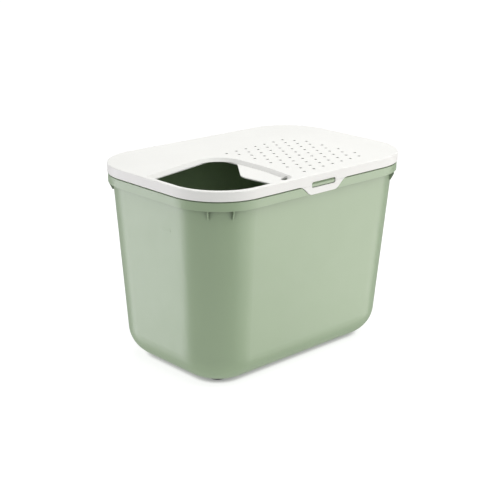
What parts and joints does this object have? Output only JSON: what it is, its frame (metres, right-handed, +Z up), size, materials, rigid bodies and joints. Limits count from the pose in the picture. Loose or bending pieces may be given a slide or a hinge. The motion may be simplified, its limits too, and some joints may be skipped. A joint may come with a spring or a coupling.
{
  "type": "cat litter box with hood",
  "caption": "Deep litter tub with a hinged latching hood that is entered from above, a drained landing beside the entrance, and a scoop hung inside.",
  "frame": {"origin": "centre of the floor footprint, on the floor", "axes": "+Z up, +X along the long side away from the entrance, -Y towards the latch side, +Y towards the hinge side"},
  "size_m": [0.585, 0.39, 0.415],
  "materials": {
    "tub_plastic": "satin moulded polypropylene",
    "lid_plastic": "satin moulded polypropylene",
    "scoop_plastic": "satin moulded polypropylene",
    "foot_rubber": "matt"
  },
  "bodies": {
    "tub": {"tub": "tub_plastic", "foot_front_left": "foot_rubber", "foot_front_right": "foot_rubber", "foot_rear_left": "foot_rubber", "foot_rear_right": "foot_rubber"},
    "lid": {"lid": "lid_plastic"},
    "latch": {"latch_tab": "lid_plastic"},
    "scoop": {"scoop": "scoop_plastic"}
  },
  "joints": [
    {"name": "lid_hinge", "type": "hinge", "parent": "tub", "child": "lid", "pos_m": [0, 0.1898, 0.3705], "axis": [-1, 0, 0], "range_deg": [0, 105]},
    {"name": "latch_flex", "type": "hinge", "parent": "lid", "child": "latch", "pos_m": [0, -0.195, 0.403], "axis": [-1, 0, 0], "range_deg": [0, 10], "stiffness_Nm_per_rad": 0.6},
    {"name": "scoop_lift", "type": "slide", "parent": "tub", "child": "scoop", "axis": [0, 0, 1], "range_m": [0, 0.32]}
  ]
}
